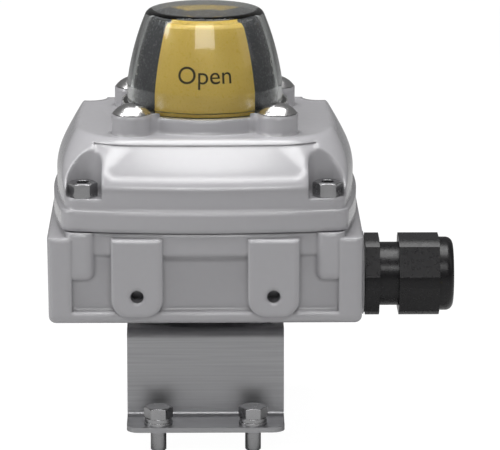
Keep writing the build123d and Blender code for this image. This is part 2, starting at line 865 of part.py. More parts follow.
def microswitch(base):
    """Snap-action switch lying on the level base, with its plunger and three tabs."""
    back_y = switch_front_y + switch_depth
    with BuildPart() as switch:
        with BuildSketch(Plane.XY.offset(base)) as body:
            with Locations((switch_middle_x, switch_front_y + switch_depth / 2)):
                Rectangle(switch_length, switch_depth)
            chamfer(body.vertices(), 0.8)
            with Locations(
                (switch_middle_x - switch_hole_pitch / 2, switch_front_y + switch_hole_back),
                (switch_middle_x + switch_hole_pitch / 2, switch_front_y + switch_hole_front),
            ):
                Circle(switch_hole_radius, mode=Mode.SUBTRACT)
        extrude(amount=switch_thickness)
        middle = base + switch_thickness / 2
        with BuildSketch(Plane.XZ.offset(-switch_front_y)):
            with Locations((pivot_x + plunger_from_pivot, middle)):
                Circle(plunger_radius)
        extrude(amount=plunger_stand)
        for side in (-1, 1):
            with BuildSketch(Plane.XY.offset(middle + side * (lever_width / 2 + moving_gap))):
                with Locations((pivot_x, pivot_y)):
                    Circle(ear_radius)
                with Locations((pivot_x, (pivot_y + switch_front_y) / 2)):
                    Rectangle(2 * ear_radius, pivot_stand)
                with Locations((pivot_x, pivot_y)):
                    Circle(pivot_radius + running_fit, mode=Mode.SUBTRACT)
            extrude(amount=side * ear_thickness)
        with BuildSketch(Plane.XZ.offset(-back_y)):
            with Locations((switch_middle_x, middle)):
                with GridLocations(8.0, 0, 3, 1):
                    Rectangle(tab_width, tab_thickness)
        extrude(amount=-tab_reach)
    return switch.part


def switch_lever(middle, angle):
    """Spring-steel lever with a rolled tip, hung on its switch's pivot."""
    tip_x, tip_y = tip_centre(angle)
    with BuildPart() as lever:
        with BuildSketch(Plane.XY.offset(middle - lever_width / 2)) as plan:
            with BuildLine():
                Line((pivot_x, pivot_y), (tip_x, tip_y))
            trace(line_width=lever_sheet)
            with Locations((tip_x, tip_y)):
                Circle(tip_radius)
                Circle(tip_radius - lever_sheet, mode=Mode.SUBTRACT)
        extrude(amount=lever_width)
        with BuildSketch(Plane.XY.offset(middle)):
            with Locations((pivot_x, pivot_y)):
                Circle(pivot_radius)
        extrude(amount=lever_width / 2 + moving_gap + ear_thickness, both=True)
    return lever.part


# The plunger ends just short of the pressed lever.
plunger_stand = (
    pivot_stand
    + plunger_from_pivot * tan(radians(-lever_pressed_angle))
    - lever_sheet / 2
    - moving_gap
)

with BuildPart() as lower_switch:
    add(microswitch(board_top))

with BuildPart() as upper_switch:
    add(microswitch(upper_switch_base))

with BuildPart() as switch_insulator:
    with BuildSketch(Plane.XY.offset(board_top + switch_thickness)):
        with Locations((switch_middle_x, switch_front_y + switch_depth / 2)):
            Rectangle(switch_length, switch_depth)
        with Locations(*board_fixings[:2]):
            Circle(switch_hole_radius, mode=Mode.SUBTRACT)
    extrude(amount=insulator_thickness)

with BuildPart() as lower_switch_lever:
    add(switch_lever(lower_cam_middle, lever_free_angle))

with BuildPart() as upper_switch_lever:
    add(switch_lever(upper_cam_middle, lever_pressed_angle))


def pan_screw(head_radius, head, radius, length):
    """Slotted pan-head screw: head above the origin, shank below it."""
    with BuildPart() as screw:
        Cylinder(head_radius, head, align=(Align.CENTER, Align.CENTER, Align.MIN))
        fillet(screw.edges().sort_by(Axis.Z)[-1], head * 0.4)
        with BuildSketch(Plane.XY.offset(head)):
            Rectangle(2 * head_radius, head_radius * 0.28)
        extrude(amount=-head * 0.45, mode=Mode.SUBTRACT)
        Cylinder(radius, length, align=(Align.CENTER, Align.CENTER, Align.MAX))
    return screw.part


stack_top = upper_switch_base + switch_thickness
with BuildPart() as switch_screws:
    for x, y in board_fixings[:2]:
        with Locations((x, y, stack_top)):
            add(pan_screw(2.7, 1.8, board_screw_radius, stack_top - board_bottom + 2.5))

with BuildPart() as board_screws:
    for x, y in board_fixings[2:]:
        with Locations((x, y, board_top)):
            add(pan_screw(2.7, 1.8, board_screw_radius, board_thickness + 2.5))

# ==== Terminal block ==========================================================================
terminal_length = terminal_ways * terminal_pitch + 1.6
terminal_top = board_top + terminal_height
with BuildPart() as terminal_block:
    with BuildSketch(Plane.YZ.offset(terminal_middle_x)):
        with BuildLine():
            half = terminal_depth / 2
            Polyline(
                (terminal_middle_y - half, board_top),
                (terminal_middle_y + half, board_top),
                (terminal_middle_y + half, terminal_top - 3.5),
                (terminal_middle_y + half - 2.2, terminal_top),
                (terminal_middle_y - half, terminal_top),
                close=True,
            )
        make_face()
    extrude(amount=terminal_length / 2, both=True)
    with BuildSketch(Plane.XZ.offset(-terminal_middle_y - half)):
        with Locations((terminal_middle_x, board_top + 3.4)):
            with GridLocations(terminal_pitch, 0, terminal_ways, 1):
                Rectangle(terminal_entry_width, terminal_entry_width)
    extrude(amount=half, mode=Mode.SUBTRACT)
    with BuildSketch(Plane.XY.offset(terminal_top)):
        with Locations((terminal_middle_x, terminal_middle_y - 1)):
            with GridLocations(terminal_pitch, 0, terminal_ways, 1):
                Circle(terminal_screw_radius + screw_fit)
    extrude(amount=-5, mode=Mode.SUBTRACT)

with BuildPart() as terminal_screws:
    with Locations((terminal_middle_x, terminal_middle_y - 1, terminal_top - 2.6)):
        with GridLocations(terminal_pitch, 0, terminal_ways, 1):
            add(pan_screw(terminal_screw_radius, 1.6, 1.1, 2.4))

earth_seat = floor_top + earth_boss_height
with BuildPart() as earth_washer:
    with Locations((earth_x, earth_y, earth_seat)):
        add(plain_washer(2 * earth_washer_radius, 2 * earth_screw_radius + 0.4, earth_washer_thickness))

with BuildPart() as earth_screw:
    with Locations((earth_x, earth_y, earth_seat + earth_washer_thickness)):
        add(pan_screw(earth_head_radius, earth_head_height, earth_screw_radius, 5.0))

# ==== Lid =====================================================================================
skirt_plan = bowed_outline(0, lid_corner_round)
wall_plan = bowed_outline(ledge_width, lid_corner_round)
with BuildSketch() as ring_plan:
    Circle(ring_radius)
    with GridLocations(lens_boss_pitch, lens_boss_pitch, 2, 2):
        Circle(lens_boss_radius)
    fillet(ring_plan.vertices(), ring_blend)

# The lens's flange has a small ear under each dome screw; a boss rises round each ear.
with BuildSketch() as lens_flange_plan:
    Circle(ring_radius - lens_flange_inset)
    with GridLocations(lens_boss_pitch, lens_boss_pitch, 2, 2):
        Circle(lens_ear_radius)
    for turn in (-1, 1):
        Rectangle(hypot(lens_boss_pitch, lens_boss_pitch), 2 * lens_ear_radius, rotation=45 * turn)
with BuildSketch() as boss_plan:
    add(ring_plan.sketch)
    Circle(ring_radius + lens_ear_gap, mode=Mode.SUBTRACT)
    offset(lens_flange_plan.sketch, amount=lens_ear_gap, mode=Mode.SUBTRACT)

# What the label's bed takes off the front slope: a panel as thick as the bed is deep.
with BuildPart() as label_bed:
    with BuildSketch(Plane.XZ.offset(lid_half_y)):
        with BuildLine():
            Polyline(
                (-label_top_half, lid_top - label_top_drop),
                (label_top_half, lid_top - label_top_drop),
                (label_top_half, lid_top - label_shoulder_drop),
                (label_bottom_half, lid_top - label_bottom_drop),
                (-label_bottom_half, lid_top - label_bottom_drop),
                (-label_top_half, lid_top - label_shoulder_drop),
                close=True,
            )
        make_face()
    extrude(amount=-lid_half_y / 2)
    add(hood(label_depth), mode=Mode.SUBTRACT)

with BuildPart() as lid:
    with BuildSketch(Plane.XY.offset(lid_bottom)):
        add(skirt_plan)
    extrude(amount=skirt_height)
    with BuildSketch(Plane.XY.offset(lid_bottom)):
        add(wall_plan)
    extrude(amount=hood_levels[0][0])
    add(hood(0))
    add(label_bed.part, mode=Mode.SUBTRACT)

    # The ring that carries the lens.
    with BuildSketch(Plane.XY.offset(lid_top - 1)):
        add(ring_plan.sketch)
    extrude(amount=ring_height + 1)
    with BuildSketch(Plane.XY.offset(ring_top)):
        add(boss_plan.sketch)
    extrude(amount=flange_top - moving_gap - ring_top)

    # Inside, with the boss that carries the indicator's stem.
    with BuildSketch(Plane.XY.offset(lid_bottom)):
        add(cavity_outline(lid_wall_inset))
    extrude(amount=lid_inner_wall_height, mode=Mode.SUBTRACT)
    with BuildSketch(Plane.XY.offset(lid_bottom + lid_inner_wall_height)):
        add(cavity_outline(lid_wall_inset))
    with BuildSketch(Plane.XY.offset(lid_top - top_thickness)):
        RectangleRounded(2 * lid_inner_top_half_x, 2 * lid_inner_top_half_y, lid_inner_top_corner)
    loft(mode=Mode.SUBTRACT)
    with BuildSketch(Plane.XY.offset(bearing_bottom)):
        Circle(bearing_boss_radius)
    extrude(amount=bearing_boss_drop + 1)
    with BuildSketch(Plane.XY.offset(ring_top)):
        Circle(ring_bore)
    extrude(amount=-ring_height, mode=Mode.SUBTRACT)
    with BuildSketch(Plane.XY.offset(bearing_bottom)):
        Circle(stem_radius + running_fit)
    extrude(amount=ring_top - bearing_bottom, mode=Mode.SUBTRACT)

    # Corner pockets, open to the front and the back, and the holes in them.
    with BuildSketch(Plane.XY.offset(pocket_floor)):
        with GridLocations(2 * pocket_x, 2 * (pocket_back_y + pocket_width), 2, 2):
            SlotOverall(2 * pocket_width, pocket_width, rotation=90)
    extrude(amount=lid_top - pocket_floor, mode=Mode.SUBTRACT)
    with BuildSketch(Plane.XY.offset(pocket_floor)):
        with GridLocations(2 * lid_bolt_x, 2 * lid_bolt_y, 2, 2):
            Circle(m5_clearance_hole / 2)
    extrude(amount=-(pocket_floor - lid_bottom), mode=Mode.SUBTRACT)
    with BuildSketch(Plane.XY.offset(ring_top)):
        with GridLocations(lens_boss_pitch, lens_boss_pitch, 2, 2):
            Circle(lens_screw_radius + screw_fit)
    extrude(amount=-lens_screw_length, mode=Mode.SUBTRACT)

lid_bolt_length = pocket_floor - base_top + lid_bolt_hole_depth - 1.0
with BuildPart() as lid_bolts:
    with Locations((0, 0, pocket_floor)):
        with GridLocations(2 * lid_bolt_x, 2 * lid_bolt_y, 2, 2):
            add(
                hexagon_bolt(
                    lid_bolt_flats,
                    lid_bolt_head,
                    m5_diameter,
                    lid_bolt_length,
                    socket_flats=lid_bolt_socket_flats,
                    socket_depth=lid_bolt_socket_depth,
                )
            )

# ==== Lens ====================================================================================
with BuildPart() as lens:
    with BuildSketch(Plane.XZ):
        with BuildLine():
            Line((0, flange_bottom), (lens_radius, flange_bottom))
            Line((lens_radius, flange_bottom), (lens_radius, flange_top + lens_skirt))
            ThreePointArc(*dome_wall(0, flange_top + lens_skirt, lens_top))
            Line((dome_radius(lens_top), lens_top), (0, lens_top))
            Line((0, lens_top), (0, flange_bottom))
        make_face()
    revolve(axis=Axis.Z)
    fillet(lens.edges().sort_by(Axis.Z)[-1], dome_top_round)
    with BuildSketch(Plane.XZ):
        with BuildLine():
            Line((0, flange_bottom), (lens_radius - lens_wall, flange_bottom))
            Line((lens_radius - lens_wall, flange_bottom), (lens_radius - lens_wall, flange_top + lens_skirt))
            ThreePointArc(*dome_wall(lens_wall, flange_top + lens_skirt, lens_top - lens_wall))
            Line((dome_radius(lens_top - lens_wall) - lens_wall, lens_top - lens_wall), (0, lens_top - lens_wall))
            Line((0, lens_top - lens_wall), (0, flange_bottom))
        make_face()
    revolve(axis=Axis.Z, mode=Mode.SUBTRACT)
    with BuildSketch(Plane.XY.offset(flange_bottom)):
        add(lens_flange_plan.sketch)
        Circle(lens_radius - lens_wall, mode=Mode.SUBTRACT)
        with GridLocations(lens_boss_pitch, lens_boss_pitch, 2, 2):
            Circle(lens_screw_radius + 0.3, mode=Mode.SUBTRACT)
    extrude(amount=lens_flange_thickness)

with BuildPart() as lens_gasket:
    with BuildSketch(Plane.XY.offset(ring_top)):
        Circle(ring_bore + 0.4 + lens_gasket_width)
        Circle(ring_bore + 0.4, mode=Mode.SUBTRACT)
    extrude(amount=lens_gasket_thickness)

dome_sphere = (dome_head_radius**2 + dome_head_height**2) / (2 * dome_head_height)
with BuildPart() as dome_screw:
    with Locations((0, 0, dome_head_height - dome_sphere)):
        Sphere(dome_sphere)
    split(bisect_by=Plane.XY)
    Cylinder(
        lens_screw_radius,
        flange_top - ring_top + lens_screw_length - 1,
        align=(Align.CENTER, Align.CENTER, Align.MAX),
    )

with BuildPart() as lens_screws:
    with Locations((0, 0, flange_top)):
        with GridLocations(lens_boss_pitch, lens_boss_pitch, 2, 2):
            add(dome_screw.part)

# ==== Indicator ===============================================================================
drum_inset = lens_wall + indicator_gap
drum_foot = lid_top + drum_foot_gap
drum_top = lens_top - lens_wall - drum_top_gap
drum_shoulder = drum_top - drum_bevel
panel_low = drum_foot + panel_foot
shell_inset = drum_inset + panel_thickness + drum_wall
shell_top = drum_top - panel_thickness - drum_wall


def panel_sectors(fit):
    """The two coloured panels, front and back, let out by fit."""
    outer = drum_inset - fit
    inner = drum_inset + panel_thickness + fit
    shoulder = dome_radius(drum_shoulder)
    low = panel_low - fit
    bend = panel_thickness + fit
    with BuildPart() as sectors:
        for front in (-90, 90):
            edge = radians(front - panel_angle / 2) - fit / lens_radius
            with BuildSketch(
                Plane((0, 0, 0), x_dir=(cos(edge), sin(edge), 0), z_dir=(sin(edge), -cos(edge), 0))
            ):
                with BuildLine():
                    Line((lens_radius - inner, low), (lens_radius - outer, low))
                    Line((lens_radius - outer, low), (lens_radius - outer, flange_top + lens_skirt))
                    ThreePointArc(*dome_wall(outer, flange_top + lens_skirt, drum_shoulder))
                    Line(
                        (shoulder - outer, drum_shoulder),
                        (shoulder - outer - drum_bevel, drum_top + fit),
                    )
                    Line(
                        (shoulder - outer - drum_bevel, drum_top + fit),
                        (panel_top_radius - fit, drum_top + fit),
                    )
                    Line(
                        (panel_top_radius - fit, drum_top + fit),
                        (panel_top_radius - fit, drum_top - bend),
                    )
                    Line(
                        (panel_top_radius - fit, drum_top - bend),
                        (shoulder - inner - drum_bevel, drum_top - bend),
                    )
                    Line(
                        (shoulder - inner - drum_bevel, drum_top - bend),
                        (dome_radius(drum_shoulder - bend) - inner, drum_shoulder - bend),
                    )
                    ThreePointArc(*dome_wall(inner, flange_top + lens_skirt, drum_shoulder - bend))
                    Line((lens_radius - inner, flange_top + lens_skirt), (lens_radius - inner, low))
                make_face()
            revolve(axis=Axis.Z, revolution_arc=panel_angle + degrees(2 * fit / lens_radius))
    return sectors.part


def drum_solid(inset, top, bevel):
    """Solid of revolution that follows the dome, brought in by inset."""
    with BuildPart() as solid:
        with BuildSketch(Plane.XZ):
            with BuildLine():
                Line((0, drum_foot), (lens_radius - inset, drum_foot))
                Line((lens_radius - inset, drum_foot), (lens_radius - inset, flange_top + lens_skirt))
                ThreePointArc(*dome_wall(inset, flange_top + lens_skirt, top - bevel))
                Line(
                    (dome_radius(top - bevel) - inset, top - bevel),
                    (dome_radius(top - bevel) - inset - bevel, top),
                )
                Line((dome_radius(top - bevel) - inset - bevel, top), (0, top))
                Line((0, top), (0, drum_foot))
            make_face()
        revolve(axis=Axis.Z)
    return solid.part


with BuildPart() as indicator_drum:
    add(drum_solid(drum_inset, drum_top, drum_bevel))
    add(drum_solid(shell_inset, shell_top, drum_bevel), mode=Mode.SUBTRACT)
    with BuildSketch(Plane.XY.offset(drum_foot + 1)):
        for turn in (0, 90):
            Rectangle(2 * (lens_radius - shell_inset) + 1, drum_wall, rotation=turn)
    extrude(amount=flange_top + lens_skirt - drum_foot - 1)
    with BuildSketch(Plane.XY.offset(stem_foot)):
        Circle(stem_radius)
    extrude(amount=shell_top + 0.5 - stem_foot)
    add(panel_sectors(seated_fit), mode=Mode.SUBTRACT)
    with BuildSketch(Plane.XY.offset(stem_foot)):
        Rectangle(2 * (neck_radius + moving_gap), dog_thickness + 2 * moving_gap)
    extrude(amount=dog_overlap, mode=Mode.SUBTRACT)
    with BuildSketch(Plane.XY.offset(bearing_bottom - moving_gap)):
        Circle(stem_radius)
        Circle(stem_radius - stem_groove, mode=Mode.SUBTRACT)
    extrude(amount=-clip_thickness, mode=Mode.SUBTRACT)

with BuildPart() as open_panels:
    add(panel_sectors(0))

with BuildPart() as indicator_clip:
    with BuildSketch(Plane.XY.offset(bearing_bottom - moving_gap)):
        Circle(clip_radius)
        Circle(stem_radius - stem_groove + seated_fit, mode=Mode.SUBTRACT)
        with Locations((clip_radius, 0)):
            Rectangle(clip_radius * 2, stem_radius * 1.2, mode=Mode.SUBTRACT)
    extrude(amount=-clip_thickness)

# ==== Cable gland =============================================================================
hex_start = boss_face + gland_wall_washer
neck_start = hex_start + gland_hex_length
nut_start = neck_start + gland_neck_length
spigot_end = nut_start + gland_spigot_length
cap_start = nut_start + nut_hex_length
nut_end = cap_start + nut_cap_length


def gland_round(start, length, radius):
    """Round length of the gland, from start towards +X."""
    with BuildPart() as disc:
        with BuildSketch(Plane.YZ.offset(start)):
            with Locations((gland_y, gland_z)):
                Circle(radius)
        extrude(amount=length)
    return disc.part


def gland_hexagon(start, length):
    """Hexagon with its corners turned round, from start towards +X."""
    with BuildPart() as hexagon:
        with BuildSketch(Plane.YZ.offset(start)):
            with Locations((gland_y, gland_z)):
                RegularPolygon(gland_flats / 2, 6, major_radius=False)
                Circle(gland_flats / 2 + gland_corner_proud, mode=Mode.INTERSECT)
        extrude(amount=length)
    return hexagon.part


with BuildPart() as gland_washer:
    add(gland_round(boss_face, gland_wall_washer, gland_flats / 2))
    add(
        gland_round(boss_face, gland_wall_washer, gland_thread_radius + seated_fit),
        mode=Mode.SUBTRACT,
    )

thread_start = boss_face - gland_thread_length
with BuildPart() as gland_body:
    add(gland_round(thread_start, hex_start - thread_start, gland_thread_radius))
    add(gland_hexagon(hex_start, gland_hex_length))
    add(gland_round(neck_start, gland_neck_length, gland_neck_radius))
    add(gland_round(nut_start, gland_spigot_length, gland_spigot_radius))
    add(
        gland_round(thread_start, spigot_end - thread_start, gland_bore_radius),
        mode=Mode.SUBTRACT,
    )

with BuildPart() as gland_nut:
    add(gland_hexagon(nut_start, nut_hex_length))
    add(gland_round(cap_start, nut_cap_length, nut_cap_radius))
    fillet(gland_nut.edges().filter_by(GeomType.CIRCLE).sort_by(Axis.X)[-1], nut_round)
    add(
        gland_round(nut_start, gland_spigot_length + moving_gap, gland_spigot_radius + seated_fit),
        mode=Mode.SUBTRACT,
    )
    add(gland_round(nut_start, nut_end - nut_start, nut_mouth_radius), mode=Mode.SUBTRACT)

seal_start = nut_end - nut_wall - gland_seal_length
with BuildPart() as gland_seal:
    add(gland_round(seal_start, gland_seal_length, nut_mouth_radius - seated_fit))
    add(gland_round(seal_start, gland_seal_length, gland_seal_bore), mode=Mode.SUBTRACT)

# ==== Write each piece ========================================================================
pieces = {
    "mounting_bracket": mounting_bracket,
    "foot_bolts": foot_bolts,
    "foot_spring_washers": foot_spring_washers,
    "foot_plain_washers": foot_plain_washers,
    "bracket_screws": bracket_screws,
    "bracket_spring_washers": bracket_spring_washers,
    "base_housing": base_housing,
    "shaft_bush": shaft_bush,
    "lid_gasket": lid_gasket,
    "circuit_board": circuit_board,
    "board_screws": board_screws,
    "lower_switch": lower_switch,
    "upper_switch": upper_switch,
    "switch_insulator": switch_insulator,
    "switch_screws": switch_screws,
    "lower_switch_lever": lower_switch_lever,
    "upper_switch_lever": upper_switch_lever,
    "terminal_block": terminal_block,
    "terminal_screws": terminal_screws,
    "earth_screw": earth_screw,
    "earth_washer": earth_washer,
    "gland_washer": gland_washer,
    "gland_body": gland_body,
    "gland_nut": gland_nut,
    "gland_seal": gland_seal,
    "drive_shaft": drive_shaft,
    "shaft_o_rings": shaft_o_rings,
    "shaft_circlip": shaft_circlip,
    "lower_cam": lower_cam,
    "upper_cam": upper_cam,
    "cam_spring": cam_spring,
    "cam_top_ring": cam_top_ring,
    "lid": lid,
    "lid_bolts": lid_bolts,
    "lens": lens,
    "lens_gasket": lens_gasket,
    "lens_screws": lens_screws,
    "indicator_drum": indicator_drum,
    "open_panels": open_panels,
    "indicator_clip": indicator_clip,
}
for piece_name, piece in pieces.items():
    piece.part.label = piece_name
    export_step(piece.part, f"parts/{piece_name}.step")
    print(piece_name, len(piece.part.solids()), round(piece.part.volume, 1))
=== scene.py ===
# %% [markdown]
# # A valve's limit switch box
#
# The solids of the box arrive ready made, each under its own name and riding on the body that
# moves it. This lesson gives them their finishes, adds the lettering of the indicator, and sets up
# the camera, the lamps and a pale studio floor. Lengths are in metres; X runs to the cable gland,
# Y to the back and Z up the shaft.

# %% Load the solids
import math

import bmesh
import bpy
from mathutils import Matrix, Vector
from mathutils.bvhtree import BVHTree


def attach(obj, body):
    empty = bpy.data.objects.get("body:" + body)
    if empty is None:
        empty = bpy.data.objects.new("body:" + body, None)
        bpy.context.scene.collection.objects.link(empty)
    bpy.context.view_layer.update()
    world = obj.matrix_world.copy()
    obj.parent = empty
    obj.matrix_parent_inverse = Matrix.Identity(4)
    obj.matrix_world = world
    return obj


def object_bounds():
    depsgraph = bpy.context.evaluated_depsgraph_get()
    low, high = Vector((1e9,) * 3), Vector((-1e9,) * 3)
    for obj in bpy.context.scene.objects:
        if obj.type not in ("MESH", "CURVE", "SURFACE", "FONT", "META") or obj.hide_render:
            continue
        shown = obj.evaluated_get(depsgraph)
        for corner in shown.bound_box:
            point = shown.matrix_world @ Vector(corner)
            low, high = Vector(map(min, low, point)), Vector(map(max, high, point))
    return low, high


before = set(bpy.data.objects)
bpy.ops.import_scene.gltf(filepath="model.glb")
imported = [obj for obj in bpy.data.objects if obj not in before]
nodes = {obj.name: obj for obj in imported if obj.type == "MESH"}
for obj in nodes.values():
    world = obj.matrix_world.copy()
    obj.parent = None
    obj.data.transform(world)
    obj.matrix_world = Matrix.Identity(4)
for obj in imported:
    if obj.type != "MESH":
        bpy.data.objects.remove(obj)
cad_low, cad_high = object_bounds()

MM = 0.001

# %% [markdown]
# ## Tools for finishes
#
# Colours are picked as sRGB hex values, the way a paint card gives them, but the shader counts in
# linear light, so one function turns one into the other. A second adds a node with its settings
# and links. The nodes of a finish could all be added by hand, but most finishes here differ only
# in colour, gloss and grain, so two more functions start a finish and make it uneven. Even a new
# surface is a little uneven, and one that isn't looks like a drawing.


# %% Colour and node helpers
def paint(code):
    """Linear colour of an sRGB hex value such as "#A0A0A0"."""
    parts = [int(code[i : i + 2], 16) / 255 for i in (1, 3, 5)]
    return [c / 12.92 if c <= 0.04045 else ((c + 0.055) / 1.055) ** 2.4 for c in parts] + [1.0]


def add_node(tree, kind, links=None, inputs=None, **settings):
    """Adds a node of a kind; links are {input: output socket}, inputs are {input: value}."""
    made = tree.nodes.new(kind)
    for name, value in settings.items():
        setattr(made, name, value)
    for name, value in (inputs or {}).items():
        made.inputs[name].default_value = value
    for name, source in (links or {}).items():
        tree.links.new(source, made.inputs[name])
    return made


print("a mid grey in linear light:", [round(part, 3) for part in paint("#808080")])


# %% Finish helpers
def start_finish(name, colour, roughness, **inputs):
    """A new material with its shader set; returns the material, its tree and its shader."""
    finish = bpy.data.materials.new(name)
    finish.use_nodes = True
    tree = finish.node_tree
    shader = tree.nodes["Principled BSDF"]
    shader.inputs["Base Color"].default_value = paint(colour)
    shader.inputs["Roughness"].default_value = roughness
    for key, value in inputs.items():
        shader.inputs[key.replace("_", " ")].default_value = value
    return finish, tree, shader


def uneven_finish(
    name,
    colours,
    roughness,
    grain_mm,
    cloud_mm=None,
    detail=2.0,
    stretch=(1, 1, 1),
    depth_mm=0.0,
    strength=0.5,
    edge_mm=0.0,
    **inputs,
):
    """A finish made uneven by noise whose grains have a real size.

    Roughness runs between two values with the grain. Colour runs between two hex values with the
    cloud, or with the grain where there is no cloud. The grain stands depth_mm high, is longer
    along an axis where stretch is above 1, and edges are shaded as if rounded to edge_mm.
    """
    finish, tree, shader = start_finish(name, colours[-1], sum(roughness) / 2, **inputs)
    place = add_node(tree, "ShaderNodeTexCoord").outputs["Object"]
    noises = []
    for size_mm in [grain_mm, cloud_mm] if cloud_mm else [grain_mm]:
        scale = [1 / (size_mm * MM * along) for along in stretch]
        mapped = add_node(tree, "ShaderNodeMapping", {"Vector": place}, {"Scale": scale})
        noise = add_node(
            tree,
            "ShaderNodeTexNoise",
            {"Vector": mapped.outputs["Vector"]},
            {"Scale": 1.0, "Detail": detail, "Roughness": 0.55},
        )
        noises.append(noise.outputs["Fac"])
    grain, cloud = noises[0], noises[-1]

    # Nearly all of the noise lies between 0.3 and 0.7.
    usual = {"From Min": 0.3, "From Max": 0.7}
    glossiest, dullest = roughness
    gloss = add_node(
        tree,
        "ShaderNodeMapRange",
        {"Value": grain},
        {**usual, "To Min": glossiest, "To Max": dullest},
    )
    tree.links.new(gloss.outputs["Result"], shader.inputs["Roughness"])
    if len(colours) > 1:
        dark, light = (paint(code) for code in colours)
        share = add_node(tree, "ShaderNodeMapRange", {"Value": cloud}, usual)
        mixed = add_node(
            tree,
            "ShaderNodeMix",
            {"Factor": share.outputs["Result"]},
            {"A": dark, "B": light},
            data_type="RGBA",
        )
        tree.links.new(mixed.outputs["Result"], shader.inputs["Base Color"])

    if depth_mm:
        bump = add_node(
            tree,
            "ShaderNodeBump",
            {"Height": grain},
            {"Distance": depth_mm * MM, "Strength": strength},
        )
        if edge_mm:
            edges = add_node(tree, "ShaderNodeBevel", inputs={"Radius": edge_mm * MM}, samples=8)
            tree.links.new(edges.outputs["Normal"], bump.inputs["Normal"])
        tree.links.new(bump.outputs["Normal"], shader.inputs["Normal"])
        if shader.inputs["Coat Weight"].default_value:
            tree.links.new(bump.outputs["Normal"], shader.inputs["Coat Normal"])
    return finish


print("helpers ready: paint, add_node, start_finish, uneven_finish")

# %% [markdown]
# ## Powder coat on the housing and the lid
#
# Both are die-cast aluminium with a baked grey powder coat. The powder melts into a glossy skin,
# faintly dimpled with a pitch of about two millimetres, and flows round every edge. So the recipe
# is a satin base under a clearer coat, a very shallow bump, and edges whose shading is rounded,
# which is where the eye expects the highlights.

# %% Grey powder coat
grey_coat = uneven_finish(
    "grey_powder_coat",
    ("#A3A2A5", "#A4A3A6"),
    (0.25, 0.27),
    grain_mm=2.2,
    detail=1.0,
    depth_mm=0.002,
    strength=0.2,
    edge_mm=2.4,
    Coat_Weight=0.7,
    Coat_Roughness=0.13,
    Coat_IOR=1.5,
)
print("finish:", grey_coat.name)

# %% [markdown]
# ## Stainless steel
#
# The bracket is cut from ground sheet, so fine scratches run across it from side to side and
# smear the reflections upwards. Real grit leaves scratches under a tenth of a millimetre wide;
# they are drawn 0.6 mm wide, as coarse as they need to be to show. Fasteners are turned or rolled
# and have a shinier, even haze. A metal's reflection takes its tint from the metal, so the base
# colour is that of the reflection.

# %% Ground sheet and turned fasteners
stainless_sheet = uneven_finish(
    "brushed_stainless_sheet",
    ("#9E9EA0", "#B0B0B2"),
    (0.37, 0.48),
    grain_mm=0.6,
    detail=3.0,
    stretch=(60, 1, 1),
    depth_mm=0.012,
    Metallic=1.0,
)
stainless_fastener = uneven_finish(
    "turned_stainless_steel",
    ("#9A9A9B", "#A5A5A6"),
    (0.22, 0.28),
    grain_mm=1.6,
    cloud_mm=6.0,
    depth_mm=0.004,
    strength=0.3,
    edge_mm=0.3,
    Metallic=1.0,
)
print("finishes:", stainless_sheet.name, stainless_fastener.name)

# %% [markdown]
# ## Chromed dome screws
#
# The four screws beside the window are bright plated. Plating is close to a mirror, and a plain
# mirror would do, but a haze keeps its highlights from looking cut out.

# %% Bright plating
chrome_screw = uneven_finish(
    "bright_plating", ("#CFCECE",), (0.21, 0.27), grain_mm=1.6, detail=3.0, Metallic=1.0
)
print("finish:", chrome_screw.name)

# %% [markdown]
# ## Spring steel, brass and bronze
#
# Levers, clips and the cam spring are polished spring steel. The earth screw is turned brass, and
# the bush is sintered bronze, whose open grain holds oil and makes it dull. All three grains are
# finer on the real metal and are drawn at half a millimetre or more, so that they show. The three
# differ only in numbers, so one function makes them.


# %% Small metals
def small_metal(name, dark, light, roughness, grain_mm, depth_mm):
    """A bare metal with one grain for its colour, gloss and height."""
    glossiest, dullest = roughness - 0.06, roughness + 0.08
    return uneven_finish(
        name,
        (dark, light),
        (glossiest, dullest),
        grain_mm,
        detail=3.0,
        depth_mm=depth_mm,
        Metallic=1.0,
    )


spring_steel = small_metal("polished_spring_steel", "#AFB0B2", "#C4C5C6", 0.20, 0.7, 0.006)
brass = small_metal("turned_brass", "#C9A049", "#DDB762", 0.24, 0.8, 0.008)
bronze = small_metal("sintered_bronze", "#8F6A3C", "#A9824F", 0.48, 0.5, 0.03)
print("finishes:", spring_steel.name, brass.name, bronze.name)

# %% [markdown]
# ## Plastics and rubber
#
# The gland is black polyamide with a fine spark-eroded grain from its mould. The seals of the lid
# and the gland and the shaft's rings are nitrile rubber, duller and softer in their highlights;
# the flat ring under the window is cream silicone. The drum and its coloured panels are moulded
# glossy, and the cams are acetal, which looks waxy. A mould's texture is finer than it is drawn
# here. Its colour drifts over many grains, as the flow of the melt leaves it, so each has a cloud
# as well as a grain.


# %% Moulded plastics
def moulded(name, dark, light, roughness, grain_mm, depth_mm, ior=1.5, **inputs):
    """A moulded plastic or rubber: an even grain, and a colour that drifts over 14 grains."""
    glossiest, dullest = roughness - 0.05, roughness + 0.06
    return uneven_finish(
        name,
        (dark, light),
        (glossiest, dullest),
        grain_mm,
        cloud_mm=14 * grain_mm,
        depth_mm=depth_mm,
        IOR=ior,
        **inputs,
    )


